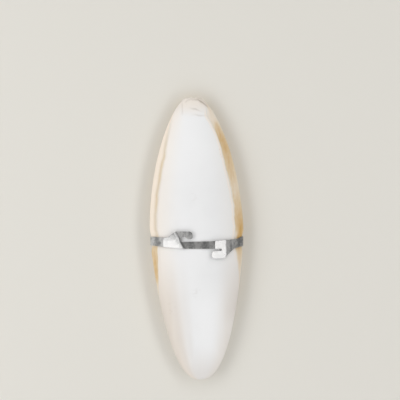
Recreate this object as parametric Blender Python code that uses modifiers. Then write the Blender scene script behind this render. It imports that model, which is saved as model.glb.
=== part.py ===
# Cuttlebone with its stamped steel cage clip.
# The bone lies on its bulging soft side, hard shield and hooks up.
# +Y points to the narrow broken end, +X to the right seen from above, +Z up.
# The origin is the middle of the footprint, on the surface that the bone lies on.
# All sizes are in metres.

import bpy
import bmesh
import numpy as np

# Bone outline, seen from above
BONE_HALF_WIDTH = 0.0340
WIDEST_Y = 0.004
BROAD_END_Y = -0.1026
NARROW_END_Y = 0.1026
BROAD_APEX_Y = -0.1027          # where the broad end closes
NARROW_APEX_Y = 0.1072          # where the narrow end would close if it were whole
BROAD_OUTLINE = (1.3, 0.42)     # power and root of the outline towards the broad end
NARROW_OUTLINE = (1.9, 0.65)
BROKEN_CORNER = 0.0009          # how far the broken end's corners draw back
BROKEN_RAGGED = 0.0003
BROKEN_WAVES = ((9.7, 0.6, 1.0), (22.0, 1.9, 0.6))     # count, phase and height across the width
BROKEN_REACH = 0.012

# Bone heights
RIM_HEIGHT = 0.0120             # the margin above the surface, at the crown
RIM_DROP = 0.0028               # how far both ends of the margin bend down
RIM_THICKNESS = 0.0013
CROWN_Y = -0.006
SHIELD_RISE = 0.0118            # crown of the hard shield above the margin
SHIELD_POWER = 2.2
SHIELD_BROAD = (2.3, 0.80)
SHIELD_NARROW = (1.7, 0.75)

# Amber flange round the narrow two thirds of the shield, one step below it
FLANGE_WIDTHS = {-1: 0.0042, 1: 0.0060}
FLANGE_STARTS = {-1: -0.050, 1: -0.045}
FLANGE_FULLS = {-1: -0.008, 1: 0.006}
FLANGE_CLOSINGS = {-1: 0.045, 1: 0.016}     # length over which it narrows to the broken end
FLANGE_STEP = 0.0005
STEP_RUN = 0.0006

# Chambered soft side
BULGE_DEPTH = 0.0116
BULGE_PEAK_Y = -0.009
BULGE_END_Y = -0.0985           # the last chamber stops short of the shield's edge
BULGE_BROAD = (2.5, 0.80)
BULGE_NARROW = (1.8, 1.15)
BULGE_EDGE = 0.88               # share of the half width
BULGE_POWER = (2.6, 0.90)
HOLLOW_SHARE = 0.70             # how much of the shield's rise the narrow end's hollow takes
HOLLOW_START_Y = 0.030
HOLLOW_FULL_Y = 0.080
HOLLOW_REACH = 0.50
LIMB_DEPTH = 0.0009             # fork limbs along the hollow
LIMB_PLACE = 0.70
LIMB_REACH = 0.08
GROWTH_PITCH = 0.008
GROWTH_DEPTH = 0.00022
GROWTH_START_Y = -0.020
GROWTH_BEND = 0.034             # how far a growth line runs back at the flanks

# Stations along the bone and columns across each half
TIP_END_Y = -0.090
TIP_ROWS = 9
BODY_ROWS = 96
DOME_COLUMNS = 6
MARGIN_LEAST = 0.0012           # least width that the columns keep for the margin
MARGIN_SHARE = 0.35
STEP_SHARE = 0.2

# Cage clip, one strip
STEEL = 0.0005
GAP = 0.0003                    # between the strip and the bone
BRIDGE_LEFT_X = -0.0094
BRIDGE_RIGHT_X = 0.0129
LEFT_CREASE_X = -0.0239
RIGHT_PLATE_X = 0.0208
RIGHT_CREASE_X = 0.0265
LEFT_STANDOFF = 0.0012          # of each crease above the shield
PLATE_STANDOFF = 0.0013
RIGHT_STANDOFF = 0.0007
LEFT_ARM_Y = (-0.0041, 0.0022)
RIGHT_ARM_Y = (-0.0064, 0.0005)
FOLD_INSET = 0.0031             # flat stretch under the margin
FOLD_GAP = 0.00045              # between the folded end and the soft side
FOLD_LENGTH = 0.0044            # last stretch, down the flank
CREASE_RADIUS = 0.0012
SOFT_RADIUS = 0.005             # of the bends that are pressed by hand
FOLD_RADIUS = 0.0004
BEND_LEAN = 0.55                # slant of the bridge's left bend across the strip
BEND_LEAN_Y = -0.0070           # where the slanted bend is at its station
HOOK_LIFT = 0.12                # slope of the upper hook out of the bridge
UPPER_HOOK_Y = (-0.0020, -0.0004)           # the upper hook lifts out of the bridge between these lines
LOWER_HOOK_Y = -0.0085          # the lower hook lies below this line
PINCH_DEPTH = 0.0011            # how far the arms press the margin in
PINCH_REACH = 0.0062


def ramp(value, start, full):
    part = np.clip((value - start) / (full - start), 0, 1)
    return part * part * (3 - 2 * part)


def taper(y, peak, broad_end, narrow_end, broad_shape, narrow_shape):
    """1 at the peak, falling to 0 at both ends as (1 - distance ** power) ** root."""
    broad = np.clip((peak - y) / (peak - broad_end), 0, 1)
    narrow = np.clip((y - peak) / (narrow_end - peak), 0, 1)
    broad_part = (1 - broad ** broad_shape[0]) ** broad_shape[1]
    narrow_part = (1 - narrow ** narrow_shape[0]) ** narrow_shape[1]
    return broad_part * narrow_part


def half_width(y, side):
    """Half width of the bone, pressed in a little where the clip's arm goes round."""
    free = BONE_HALF_WIDTH * taper(y, WIDEST_Y, BROAD_APEX_Y, NARROW_APEX_Y,
                                   BROAD_OUTLINE, NARROW_OUTLINE)
    arm_y = np.where(side < 0, sum(LEFT_ARM_Y) / 2, sum(RIGHT_ARM_Y) / 2)
    return free - PINCH_DEPTH * np.exp(-((y - arm_y) / PINCH_REACH) ** 4)


def rim_height(y):
    return RIM_HEIGHT - RIM_DROP * ((y - CROWN_Y) / (NARROW_END_Y - CROWN_Y)) ** 2


def shield_rise(y):
    return SHIELD_RISE * taper(y, CROWN_Y, BROAD_APEX_Y, NARROW_APEX_Y,
                               SHIELD_BROAD, SHIELD_NARROW)


def by_side(side, values):
    return np.where(side < 0, values[-1], values[1])


def flange_presence(y, side):
    opening = ramp(y, by_side(side, FLANGE_STARTS), by_side(side, FLANGE_FULLS))
    return opening * ramp(-y, -NARROW_END_Y, by_side(side, FLANGE_CLOSINGS) - NARROW_END_Y)


def flange_width(y, side):
    return by_side(side, FLANGE_WIDTHS) * flange_presence(y, side)


def shield_height(x, y):
    """Hard side: a dome across the width, one step down to the flange."""
    side = np.where(x < 0, -1, 1)
    edge = half_width(y, side)
    across = np.clip(np.abs(x) / edge, 0, 1)
    inset = edge - np.abs(x) - flange_width(y, side)
    step = FLANGE_STEP * flange_presence(y, side) * (1 - ramp(inset, -STEP_RUN / 2, STEP_RUN / 2))
    return rim_height(y) + shield_rise(y) * (1 - across ** SHIELD_POWER) - step


def soft_height(x, y):
    """Soft side: the chambered bulge, hollow between two limbs towards the narrow end."""
    across = np.clip(np.abs(x) / half_width(y, np.where(x < 0, -1, 1)), 0, 1)
    bulge = BULGE_DEPTH * taper(y, BULGE_PEAK_Y, BULGE_END_Y, NARROW_APEX_Y, BULGE_BROAD, BULGE_NARROW)
    bulge = bulge * (1 - np.clip(across / BULGE_EDGE, 0, 1) ** BULGE_POWER[0]) ** BULGE_POWER[1]
    hollowing = ramp(y, HOLLOW_START_Y, HOLLOW_FULL_Y)
    hollow = HOLLOW_SHARE * shield_rise(y) * hollowing * np.exp(-(across / HOLLOW_REACH) ** 2)
    closing = ramp(-y, -NARROW_END_Y, -HOLLOW_FULL_Y)
    limbs = LIMB_DEPTH * hollowing * closing * np.exp(-((across - LIMB_PLACE) / LIMB_REACH) ** 2)
    line = y - GROWTH_BEND * across ** 2
    zone = ramp(line, GROWTH_START_Y, GROWTH_START_Y + 2 * GROWTH_PITCH) * ramp(-across, -BULGE_EDGE, -LIMB_PLACE)
    growth = GROWTH_DEPTH * zone * closing * np.cos(2 * np.pi * line / GROWTH_PITCH)
    height = rim_height(y) - RIM_THICKNESS - bulge + hollow - limbs + growth
    return np.maximum(height, 0)


def bone_grid():
    """Stations along the length, closer at the round broad end, and columns across it."""
    tip = BROAD_END_Y + (TIP_END_Y - BROAD_END_Y) * (1 - np.cos(np.linspace(0, np.pi / 2, TIP_ROWS)))
    y = np.concatenate([tip, np.linspace(TIP_END_Y, NARROW_END_Y, BODY_ROWS)[1:]])
    sides = []
    for side in (-1, 1):
        edge = half_width(y, side)
        flange = np.minimum(np.maximum(flange_width(y, side), MARGIN_LEAST), MARGIN_SHARE * edge)
        run = np.minimum(STEP_RUN / 2, STEP_SHARE * flange)
        inner = edge - flange - run
        dome = [inner * np.sin(np.pi / 2 * part) for part in np.linspace(0, 1, DOME_COLUMNS)]
        sides.append(dome + [edge - flange + run, edge - flange / 2, edge])
    left = [-column for column in reversed(sides[0][1:])]
    x = np.stack(left + sides[1], axis=1)
    y = np.repeat(y[:, None], x.shape[1], axis=1)
    return x, y


def broken_end(x, y):
    """Draws the narrow end's corners back and leaves its edge ragged."""
    across = x / half_width(y, np.where(x < 0, -1, 1))
    ragged = sum(height * (1 + np.sin(count * across + phase)) for count, phase, height in BROKEN_WAVES)
    drawn = BROKEN_CORNER * across ** 4 + BROKEN_RAGGED * ragged
    return y - ramp(y, NARROW_END_Y - BROKEN_REACH, NARROW_END_Y) * drawn


def closed_loft(upper, lower):
    """Quads over two grids that share an outline, joined along the rim and both ends."""
    rows, columns = upper.shape[:2]
    top = np.arange(rows * columns).reshape(rows, columns)
    under = top + rows * columns
    faces = []
    for skin, turn in ((top, 1), (under, -1)):
        quads = np.stack([skin[:-1, :-1], skin[:-1, 1:], skin[1:, 1:], skin[1:, :-1]], axis=-1)
        faces += quads.reshape(-1, 4)[:, ::turn].tolist()
    rims = (
        (top[:, 0], under[:, 0], -1),
        (top[:, -1], under[:, -1], 1),
        (top[0], under[0], 1),
        (top[-1], under[-1], -1),
    )
    for edge, below, turn in rims:
        quads = np.stack([edge[:-1], below[:-1], below[1:], edge[1:]], axis=-1)
        faces += quads[:, ::turn].tolist()
    points = np.concatenate([upper.reshape(-1, 3), lower.reshape(-1, 3)])
    mesh = bpy.data.meshes.new("cuttlebone")
    mesh.from_pydata(points.tolist(), [], faces)
    return mesh


def join_worn_flat(mesh):
    """Makes the worn patch that the bone lies on one flat face."""
    shape = bmesh.new()
    shape.from_mesh(mesh)
    worn = [face for face in shape.faces if all(abs(vert.co.z) < 1e-7 for vert in face.verts)]
    bmesh.ops.dissolve_faces(shape, faces=worn, use_verts=True)
    shape.to_mesh(mesh)
    shape.free()


def make_bone(collection):
    x, y = bone_grid()
    y_seen = broken_end(x, y)
    upper = np.stack([x, y_seen, shield_height(x, y)], axis=-1)
    lower = np.stack([x, y_seen, soft_height(x, y)], axis=-1)
    mesh = closed_loft(upper, lower)
    join_worn_flat(mesh)
    mesh.shade_smooth()
    mesh.set_sharp_from_angle(angle=np.radians(38))
    mesh.materials.append(material("chalky aragonite", (0.87, 0.85, 0.81), 0.85, 0.0))
    bone = bpy.data.objects.new("cuttlebone", mesh)
    collection.objects.link(bone)
    return bone


def rounded(corners, closed):
    """Points of a polyline whose corners (a, b, radius) are turned into arcs."""
    spots = np.array([corner[:2] for corner in corners])
    points = []
    for index, (a, b, radius) in enumerate(corners):
        at_end = not closed and index in (0, len(corners) - 1)
        if at_end or radius == 0:
            points.append((a, b))
            continue
        back = spots[index - 1] - spots[index]
        ahead = spots[(index + 1) % len(spots)] - spots[index]
        back = back / np.linalg.norm(back)
        ahead = ahead / np.linalg.norm(ahead)
        half = np.arccos(np.clip(back @ ahead, -1, 1)) / 2
        middle = spots[index] + (back + ahead) / np.linalg.norm(back + ahead) * radius / np.sin(half)
        start = spots[index] + back * radius / np.tan(half) - middle
        end = spots[index] + ahead * radius / np.tan(half) - middle
        turn = np.pi - 2 * half
        steps = max(1, int(np.ceil(turn / np.radians(24))))
        for part in np.linspace(0, 1, steps + 1):
            arm = (np.sin((1 - part) * turn) * start + np.sin(part * turn) * end) / np.sin(turn)
            points.append(tuple(middle + arm))
    return np.array(points)


def strip_route():
    """Inner face of the strip from one folded end to the other, as (x, z) points."""
    def above(x, arm, standoff):
        return shield_height(np.full(9, x), np.linspace(arm[0], arm[1], 9)).max() + standoff

    def fold(side, arm):
        y = np.linspace(arm[0], arm[1], 9)
        edge = half_width(y, side).max() + GAP
        rim_top = shield_height(side * (edge - GAP), y).max() + GAP
        rim_under = soft_height(np.full(9, side * (edge - GAP)), y).min() - FOLD_GAP
        inner_x = edge - FOLD_INSET
        tip_x = inner_x - FOLD_LENGTH
        tip_z = soft_height(np.full(9, side * tip_x), y).min() - FOLD_GAP
        return [
            (side * tip_x, tip_z, 0),
            (side * inner_x, rim_under, CREASE_RADIUS),
            (side * edge, rim_under, FOLD_RADIUS),
            (side * edge, rim_top, FOLD_RADIUS),
        ]

    crown = shield_height(np.zeros(9), np.linspace(RIGHT_ARM_Y[0], LEFT_ARM_Y[1], 9)).max() + GAP
    corners = fold(-1, LEFT_ARM_Y)
    corners += [
        (LEFT_CREASE_X, above(LEFT_CREASE_X, LEFT_ARM_Y, LEFT_STANDOFF), CREASE_RADIUS),
        (BRIDGE_LEFT_X, crown, SOFT_RADIUS),
        (BRIDGE_RIGHT_X, crown, CREASE_RADIUS),
        (RIGHT_PLATE_X, above(RIGHT_PLATE_X, RIGHT_ARM_Y, PLATE_STANDOFF), SOFT_RADIUS),
        (RIGHT_CREASE_X, above(RIGHT_CREASE_X, RIGHT_ARM_Y, RIGHT_STANDOFF), CREASE_RADIUS),
    ]
    corners += reversed(fold(1, RIGHT_ARM_Y))
    return rounded(corners, closed=False)


def strip_outline(along, length):
    """Blank of the strip, unrolled: arms, bridge and the two hooks that point past each other."""
    left_low, left_high = LEFT_ARM_Y
    right_low, right_high = RIGHT_ARM_Y
    return rounded([
        (0, left_high, 0.0018),
        (along(-0.0320), left_high, 0.004),
        (along(LEFT_CREASE_X), 0.0014, 0.004),
        (along(-0.0213), 0.0013, 0.0016),
        (along(-0.0150), 0.0058, 0.0022),
        (along(-0.0029), 0.0054, 0.0027),
        (along(-0.0029), -0.0003, 0.0017),
        (along(-0.0065), -0.0001, 0.0011),
        (along(-0.0081), 0.0016, 0.0014),
        (along(-0.0117), 0.0015, 0.0016),
        (along(-0.0117), -0.0020, 0.0016),
        (along(BRIDGE_RIGHT_X), -0.0020, 0.020),
        (along(0.0290), -0.0009, 0.006),
        (along(0.0325), right_high, 0.004),
        (length, right_high, 0.0018),
        (length, right_low, 0.0018),
        (along(0.0325), right_low, 0.004),
        (along(0.0262), -0.0080, 0.0016),
        (along(0.0211), -0.0126, 0.0020),
        (along(0.0189), -0.0145, 0.0020),
        (along(0.0098), -0.0144, 0.0026),
        (along(0.0098), -0.0093, 0.0022),
        (along(0.0175), -0.0092, 0.0006),
        (along(0.0175), -0.0075, 0.0006),
        (along(BRIDGE_RIGHT_X), -0.0075, 0.020),
        (along(BRIDGE_LEFT_X), -0.0068, 0.020),
        (along(LEFT_CREASE_X), -0.0052, 0.004),
        (along(-0.0320), left_low, 0.004),
        (0, left_low, 0.0018),
    ], closed=True)


def make_clip(collection):
    route = strip_route()
    reach = np.concatenate([[0], np.cumsum(np.linalg.norm(np.diff(route, axis=0), axis=1))])
    over = np.abs(np.gradient(route[:, 0], reach)) > 0.3
    over &= route[:, 1] > RIM_HEIGHT - GAP

    def along(x):
        return np.interp(x, route[over, 0], reach[over])

    crease = along(LEFT_CREASE_X)
    bend_left = along(BRIDGE_LEFT_X)
    middle = along(0)
    bend_right = along(BRIDGE_RIGHT_X)
    plate_end = along(RIGHT_PLATE_X)

    def slanted(b):
        return bend_left - BEND_LEAN * (b - BEND_LEAN_Y)

    def blank_station(station, b):
        """Where a station of the route crosses the blank at b."""
        return np.interp(station, (0, crease, bend_left, middle, reach[-1]),
                         (0, crease, slanted(b), middle, reach[-1]))

    def route_station(a, b):
        return np.interp(a, (0, crease, slanted(b), middle, reach[-1]),
                         (0, crease, bend_left, middle, reach[-1]))

    outline = strip_outline(along, reach[-1])
    shape = bmesh.new()
    corners = [shape.verts.new((a, b, 0)) for a, b in outline[::-1]]
    shape.faces.new(corners).normal_update()
    cuts = [((0, b, 0), (0, 1, 0)) for b in (LOWER_HOOK_Y, *UPPER_HOOK_Y)]
    for station in reach[1:-1]:
        low, high = (blank_station(station, b) for b in UPPER_HOOK_Y)
        cuts.append(((low, UPPER_HOOK_Y[0], 0), (UPPER_HOOK_Y[1] - UPPER_HOOK_Y[0], low - high, 0)))
    for point, normal in cuts:
        everything = shape.verts[:] + shape.edges[:] + shape.faces[:]
        bmesh.ops.bisect_plane(shape, geom=everything, dist=1e-7, plane_co=point, plane_no=normal)
    plate_x = np.interp([bend_right, plate_end], reach, route[:, 0])
    plate_z = np.interp([bend_right, plate_end], reach, route[:, 1])
    for vert in shape.verts:
        a, b = vert.co.x, vert.co.y
        x = np.interp(a, reach, route[:, 0])
        z = np.interp(route_station(a, b), reach, route[:, 1])
        if slanted(b) < a < bend_right:                         # upper hook, lifted out of the bridge
            z += HOOK_LIFT * (a - slanted(b)) * ramp(b, *UPPER_HOOK_Y)
        if b < LOWER_HOOK_Y and a < bend_right:                 # lower hook, on in the right plate's plane
            part = (a - bend_right) / (plate_end - bend_right)
            x = plate_x[0] + part * (plate_x[1] - plate_x[0])
            z = plate_z[0] + part * (plate_z[1] - plate_z[0])
        vert.co = (x, b, z)
    mesh = bpy.data.meshes.new("holder_clip")
    shape.to_mesh(mesh)
    shape.free()
    mesh.materials.append(material("nickel plated steel", (0.62, 0.62, 0.61), 0.25, 1.0))
    clip = bpy.data.objects.new("holder_clip", mesh)
    collection.objects.link(clip)
    sheet = clip.modifiers.new("sheet steel", "SOLIDIFY")
    sheet.thickness = STEEL
    sheet.offset = 1
    sheet.use_even_offset = True
    return clip


def material(name, colour, roughness, metallic):
    made = bpy.data.materials.new(name)
    made.use_nodes = True
    shader = made.node_tree.nodes["Principled BSDF"]
    shader.inputs["Base Color"].default_value = (*colour, 1)
    shader.inputs["Roughness"].default_value = roughness
    shader.inputs["Metallic"].default_value = metallic
    return made


def main():
    for old in list(bpy.data.objects):
        bpy.data.objects.remove(old, do_unlink=True)
    collection = bpy.data.collections.new("Cuttlebone")
    bpy.context.scene.collection.children.link(collection)
    make_bone(collection)
    make_clip(collection)


main()
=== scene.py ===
# A cuttlebone in its stamped steel cage clip, seen from straight above its hard side.
# The main sizes are those of the CAD solids; the fine surfaces and the finishes are made here.
import math
import bpy
import bmesh
import numpy as np
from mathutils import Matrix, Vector


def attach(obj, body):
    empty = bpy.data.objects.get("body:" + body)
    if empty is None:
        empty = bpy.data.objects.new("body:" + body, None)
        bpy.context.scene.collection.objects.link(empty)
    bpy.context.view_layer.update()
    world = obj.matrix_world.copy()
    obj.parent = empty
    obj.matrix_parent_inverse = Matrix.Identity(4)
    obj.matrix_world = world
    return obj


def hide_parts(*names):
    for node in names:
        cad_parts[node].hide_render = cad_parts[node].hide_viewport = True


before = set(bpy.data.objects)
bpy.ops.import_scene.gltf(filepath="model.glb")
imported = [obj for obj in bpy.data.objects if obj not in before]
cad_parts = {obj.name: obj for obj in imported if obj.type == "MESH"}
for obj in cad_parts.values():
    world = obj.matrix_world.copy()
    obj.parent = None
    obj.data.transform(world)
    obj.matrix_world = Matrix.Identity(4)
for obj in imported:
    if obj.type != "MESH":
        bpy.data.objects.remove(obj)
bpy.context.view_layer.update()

mm = 0.001


def rise(value, start, full):  # eases from 0 at start to 1 at full
    part = np.clip((value - start) / (full - start), 0, 1)
    return part * part * (3 - 2 * part)


def ramp(value, amount, start, full):  # eases from 0 at start to an amount at full
    return amount * rise(value, start, full)


def bell(value, middle, reach):  # 1 in the middle, fading over reach on both sides
    return np.exp(-((value - middle) / reach) ** 2)


def unevenness(a, b, size, seed):
    # smooth field between -1 and 1: random values on a square lattice, eased between
    lattice = 128
    values = np.random.default_rng(seed).random((lattice, lattice)) * 2 - 1
    a = a / size + 500.3        # counted from far off, so that no lattice line follows the bone's middle
    b = b / size + 500.7
    column = np.floor(a).astype(int)
    row = np.floor(b).astype(int)
    a = a - column
    b = b - row
    a = a * a * (3 - 2 * a)
    b = b * b * (3 - 2 * b)
    column, nextColumn = column % lattice, (column + 1) % lattice
    row, nextRow = row % lattice, (row + 1) % lattice
    low = values[column, row] * (1 - a) + values[nextColumn, row] * a
    high = values[column, nextRow] * (1 - a) + values[nextColumn, nextRow] * a
    return low * (1 - b) + high * b


def layered(a, b, layers):
    # unevenness added up from layers of (amount, share of b, size, seed); a small share draws it out along b
    return sum(amount * unevenness(a, b * share, size, seed) for amount, share, size, seed in layers)


def linear(hexColour, alpha=1):  # sRGB hex to the linear values that shaders take
    channels = [int(hexColour[i:i + 2], 16) / 255 for i in (1, 3, 5)]
    return tuple(c / 12.92 if c <= 0.04045 else ((c + 0.055) / 1.055) ** 2.4 for c in channels) + (alpha,)


def addNode(tree, kind, settings=None, links=None):
    # settings: node properties, or input sockets by name or number; links: input to the socket that feeds it
    made = tree.nodes.new(kind)
    for key, value in (settings or {}).items():
        if isinstance(key, str) and hasattr(made, key):
            setattr(made, key, value)
        else:
            made.inputs[key].default_value = value
    for key, socket in (links or {}).items():
        tree.links.new(socket, made.inputs[key])
    return made


def emptyMaterial(name):
    made = bpy.data.materials.new(name)
    made.use_nodes = True
    made.node_tree.nodes.clear()
    return made, made.node_tree


print("cuttlebone: surface")

# What a user would change on the bone, in metres
bone = {
    "halfWidth": 0.0340,
    "widestY": 0.004,
    "broadEndY": -0.1026,
    "narrowEndY": 0.1026,
    "broadApexY": -0.1027,
    "narrowApexY": 0.1072,
    "broadOutline": (1.3, 0.42),
    "narrowOutline": (1.9, 0.65),
    "brokenCorner": 0.0008,
    "brokenRagged": 0.0002,
    "brokenWaves": ((9.7, 0.6, 1.0), (22.0, 1.9, 0.6)),     # count, phase and height across the width
    "brokenNicks": (0.4, 0.0009, 31),   # height, size and seed
    "brokenReach": 0.012,
    "rimHeight": 0.0120,
    "rimDrop": 0.0028,
    "rimThickness": 0.0013,
    "rimRound": 0.0006,
    "crownY": -0.006,
    "shieldRise": 0.0118,
    "shieldPower": 2.2,
    "shieldBroad": (2.3, 0.80),
    "shieldNarrow": (1.7, 0.75),
    # wear of the shield: depth, share that is kept along the bone, size and seed
    "shieldWear": ((0.000035, 1, 0.021, 11), (0.00001, 0.5, 0.0045, 12), (0.00001, 1, 0.0012, 13)),
    "shieldWearEnds": (0.90, 1.0),      # it fades between these shares of the half width
    "flangeWidths": (0.0042, 0.0060),   # left, right
    "flangeStarts": (-0.050, -0.045),
    "flangeFulls": (-0.008, 0.006),
    "flangeClosings": (0.045, 0.016),   # length over which it narrows to the broken end
    "flangeWaver": ((0.10, 1, 0.009, 3), (0.05, 0, 0.003, 4)),     # share of its width
    "flangeStep": 0.0005,
    "stepRun": 0.0006,
    "bulgeDepth": 0.0116,
    "bulgePeakY": -0.009,
    "bulgeEndY": -0.0985,
    "bulgeBroad": (2.5, 0.80),
    "bulgeNarrow": (1.8, 1.15),
    "bulgeEdge": 0.88,
    "bulgePower": (2.6, 0.90),
    "hollowShare": 0.70,
    "hollowStartY": 0.030,
    "hollowFullY": 0.080,
    "hollowReach": 0.50,
    "limbDepth": 0.0009,
    "limbPlace": 0.70,
    "limbReach": 0.08,
    "growthStartY": -0.020,
    "growthStartRun": 0.010,
    "growthBend": 0.034,
    "growthWander": ((0.0007, 1, 0.012, 21),),
    "growthPitch": 0.0016,      # real lines are 0.3 to 0.5 mm apart; drawn coarser so that they show
    "growthDepth": 0.00010,
    "growthSwell": 0.008,       # broad swells that the lines ride on
    "growthSwellDepth": 0.00022,
    "chalkWear": ((0.00006, 1, 0.006, 22),),
    "chalkWearEnds": (0.84, 0.92),
    "armYs": ((-0.0041, 0.0022), (-0.0064, 0.0005)),   # left and right clip arm
    "pinchDepth": 0.0011,
    "pinchReach": 0.0062,
    "tipEndY": -0.090,
    "endRound": 0.0015,
    "endEdgeRound": 0.0005,
    "rows": (40, 372, 12),              # broad tip, body, broken end
    "columnsPerSide": (34, 6, 8, 6),    # dome, step, flange, rounded rim
    "columnCrowding": 0.96,             # near 0 the dome's columns are even, at 1 they crowd outwards
    "bandLimits": (0.0014, 0.35),       # least width for the flange's columns, most as share of half width
    "bandShares": (0.20, 0.25),         # most of it that the step and the rounded rim take
}


def taper(y, peak, broadEnd, narrowEnd, broad, narrow):
    # 1 at the peak, falling to 0 at both ends as (1 - distance ** power) ** root
    toBroad = np.clip((peak - y) / (peak - broadEnd), 0, 1)
    toNarrow = np.clip((y - peak) / (narrowEnd - peak), 0, 1)
    return (1 - toBroad ** broad[0]) ** broad[1] * (1 - toNarrow ** narrow[0]) ** narrow[1]


def bySide(x, pair):  # the first value left of the middle, the second right of it
    return np.where(x < 0, pair[0], pair[1])


def halfWidth(x, y):  # the outline's half width, pressed in where an arm of the clip goes round
    free = bone["halfWidth"] * taper(y, bone["widestY"], bone["broadApexY"], bone["narrowApexY"],
                                     bone["broadOutline"], bone["narrowOutline"])
    armMiddle = bySide(x, [sum(arm) / 2 for arm in bone["armYs"]])
    return free - bone["pinchDepth"] * np.exp(-((y - armMiddle) / bone["pinchReach"]) ** 4)


def rimHeight(y):  # the margin bends down to both ends as a parabola
    fromCrown = (y - bone["crownY"]) / (bone["narrowEndY"] - bone["crownY"])
    return bone["rimHeight"] - bone["rimDrop"] * fromCrown ** 2


def shieldRise(y):  # crown of the dome above the margin
    return bone["shieldRise"] * taper(y, bone["crownY"], bone["broadApexY"], bone["narrowApexY"],
                                      bone["shieldBroad"], bone["shieldNarrow"])


def flangePresence(x, y):  # 0 at the broad end, 1 from the clip on, closing towards the broken end
    opening = rise(y, bySide(x, bone["flangeStarts"]), bySide(x, bone["flangeFulls"]))
    return opening * rise(-y, -bone["narrowEndY"], bySide(x, bone["flangeClosings"]) - bone["narrowEndY"])


def flangeWidth(x, y):  # wavers a little along the bone, not alike on both sides
    waver = layered(y, 0.3 * np.sign(x), bone["flangeWaver"])
    return bySide(x, bone["flangeWidths"]) * flangePresence(x, y) * (1 + waver)


def shieldHeight(x, y):
    # a dome across the width, one step down to the flange, with the wear of a real shield
    edge = halfWidth(x, y)
    across = np.clip(np.abs(x) / edge, 0, 1)
    inset = edge - np.abs(x) - flangeWidth(x, y)
    step = 1 - rise(inset, -bone["stepRun"] / 2, bone["stepRun"] / 2)
    step = step * bone["flangeStep"] * flangePresence(x, y)
    height = rimHeight(y) + shieldRise(y) * (1 - across ** bone["shieldPower"]) - step
    return height + (1 - rise(across, *bone["shieldWearEnds"])) * layered(x, y, bone["shieldWear"])


def growthLine(x, y):  # lines run back towards the narrow end at the flanks
    across = np.clip(np.abs(x) / halfWidth(x, y), 0, 1)
    return y - bone["growthBend"] * across ** 2 + layered(x, y, bone["growthWander"]), across


def growthZone(x, y):  # where the soft side shows its growth lines
    line, across = growthLine(x, y)
    begun = rise(line, bone["growthStartY"], bone["growthStartY"] + bone["growthStartRun"])
    return begun * rise(-across, -bone["bulgeEdge"], -bone["limbPlace"])


def softHeight(x, y):
    # the chambered bulge, hollow between two limbs towards the narrow end, under growth lines
    across = np.clip(np.abs(x) / halfWidth(x, y), 0, 1)
    bulge = bone["bulgeDepth"] * taper(y, bone["bulgePeakY"], bone["bulgeEndY"], bone["narrowApexY"],
                                       bone["bulgeBroad"], bone["bulgeNarrow"])
    edge, root = bone["bulgePower"]
    bulge = bulge * (1 - np.clip(across / bone["bulgeEdge"], 0, 1) ** edge) ** root
    hollowing = rise(y, bone["hollowStartY"], bone["hollowFullY"])
    hollow = bone["hollowShare"] * shieldRise(y) * hollowing * bell(across, 0, bone["hollowReach"])
    closing = rise(-y, -bone["narrowEndY"], -bone["hollowFullY"])
    limbs = bone["limbDepth"] * hollowing * closing * bell(across, bone["limbPlace"], bone["limbReach"])
    line, across = growthLine(x, y)
    zone = growthZone(x, y) * closing
    swell = np.cos(2 * np.pi * (y - bone["growthBend"] * across ** 2) / bone["growthSwell"])
    swell = swell * bone["growthSwellDepth"]
    fine = bone["growthDepth"] * np.cos(2 * np.pi * line / bone["growthPitch"])
    height = rimHeight(y) - bone["rimThickness"] - bulge + hollow - limbs + zone * (swell + fine)
    worn = (1 - rise(across, *bone["chalkWearEnds"])) * layered(x, y, bone["chalkWear"])
    return np.maximum(height + worn, 0)


def boneGrid():
    # rows along the bone, closer at both ends, and columns that follow the shield's edge and the rim
    tipRows, bodyRows, endRows = bone["rows"]
    tipLength = bone["tipEndY"] - bone["broadEndY"]
    bodyEnd = bone["narrowEndY"] - bone["endRound"]
    y = np.concatenate([
        bone["broadEndY"] + tipLength * (1 - np.cos(np.linspace(0, np.pi / 2, tipRows))),
        np.linspace(bone["tipEndY"], bodyEnd, bodyRows)[1:],
        bodyEnd + bone["endRound"] * np.sin(np.linspace(0, np.pi / 2, endRows))[1:],
    ])
    dome, step, flange, rim = bone["columnsPerSide"]
    leastBand, bandShare = bone["bandLimits"]
    stepShare, rimShare = bone["bandShares"]
    halves = []
    for side in (-1, 1):
        sideX = np.full_like(y, side * mm)
        edge = halfWidth(sideX, y)
        band = np.minimum(np.maximum(flangeWidth(sideX, y), leastBand), bandShare * edge)
        run = np.minimum(bone["stepRun"] / 2, stepShare * band)
        roundOff = np.minimum(bone["rimRound"], rimShare * band)
        inner, outer, rimStart = edge - band - run, edge - band + run, edge - roundOff
        quarter = math.pi / 2 * bone["columnCrowding"]
        columns = [inner * math.sin(quarter * p) / math.sin(quarter) for p in np.linspace(0, 1, dome)]
        columns += [inner + (outer - inner) * p for p in np.linspace(0, 1, step + 1)[1:]]
        columns += [outer + (rimStart - outer) * p for p in np.linspace(0, 1, flange + 1)[1:]]
        columns += [rimStart + roundOff * math.sin(math.pi / 2 * p) for p in np.linspace(0, 1, rim + 1)[1:]]
        halves.append(np.stack(columns, axis=1))
    x = np.concatenate([-halves[0][:, :0:-1], halves[1]], axis=1)
    return x, np.repeat(y[:, None], x.shape[1], axis=1)


def roundOver(inset, radius):  # quarter-ellipse share of the thickness near an edge
    part = np.clip(inset / radius, 0, 1)
    return np.sqrt(1 - (1 - part) ** 2)


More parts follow.
